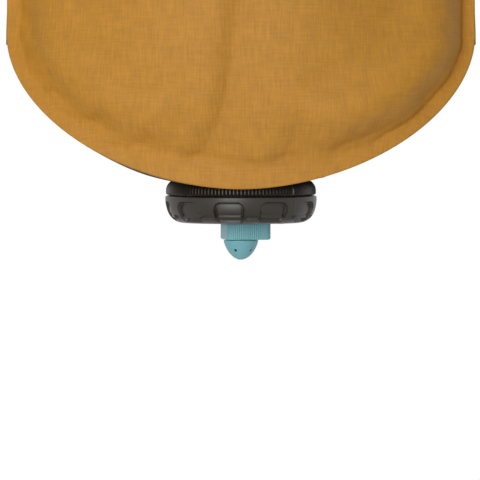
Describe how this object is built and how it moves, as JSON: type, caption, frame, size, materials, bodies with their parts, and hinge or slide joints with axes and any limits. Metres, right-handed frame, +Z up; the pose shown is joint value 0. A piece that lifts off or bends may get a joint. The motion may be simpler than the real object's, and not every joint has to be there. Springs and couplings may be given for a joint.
{
  "type": "hanging water bag",
  "caption": "Soft hanging water bag with welded panels, webbing carry handle, side lash loops, ribbed neck collar, scalloped screw cap and a turning shower valve.",
  "frame": {"origin": "the hang point, under the crown of the carry handle", "axes": "+Z up, along the hanging bag; the front panel faces -Y; +X to the right seen from the front"},
  "size_m": [0.2474, 0.1241, 0.4362],
  "materials": {
    "ochre_fabric": "satin",
    "grey_fabric": "satin",
    "black_moulding": "satin",
    "teal_moulding": "satin",
    "seal_rubber": "matte",
    "dark_webbing": "matte",
    "spring_steel": "satin"
  },
  "bodies": {
    "handle": {"carry_handle": "dark_webbing"},
    "bag": {"front_panel": "ochre_fabric", "back_panel": "grey_fabric", "neck": "black_moulding", "neck_washer": "seal_rubber", "grip_ring": "black_moulding", "left_lash_strap": "dark_webbing", "right_lash_strap": "dark_webbing", "top_binding": "dark_webbing", "handle_end_left": "dark_webbing", "handle_end_right": "dark_webbing"},
    "gasket": {"cap_gasket": "seal_rubber"},
    "cap": {"screw_cap": "black_moulding", "valve_sleeve": "seal_rubber"},
    "valve": {"valve_stem": "teal_moulding", "lower_stem_seal": "seal_rubber", "upper_stem_seal": "seal_rubber", "retaining_clip": "spring_steel", "valve_knob": "teal_moulding", "spray_rose": "teal_moulding"}
  },
  "joints": [
    {"name": "handle_fold", "type": "hinge", "parent": "handle", "child": "bag", "pos_m": [0, 0, -0.0492], "axis": [1, 0, 0], "range_deg": [-120, 90]},
    {"name": "cap_lift", "type": "slide", "parent": "bag", "child": "gasket", "axis": [0, 0, -1], "range_m": [0, 0.0084]},
    {"name": "cap_turn", "type": "hinge", "parent": "gasket", "child": "cap", "pos_m": [0, 0.00055, -0.4007], "axis": [0, 0, -1], "range_deg": [0, 600]},
    {"name": "valve_turn", "type": "hinge", "parent": "cap", "child": "valve", "pos_m": [0, 0.00055, -0.4007], "axis": [0, 0, 1], "range_deg": [0, 90]}
  ],
  "couplings": [
    {"joint": "cap_lift", "follows": "cap_turn", "m_per_rad": 0.00079577}
  ]
}
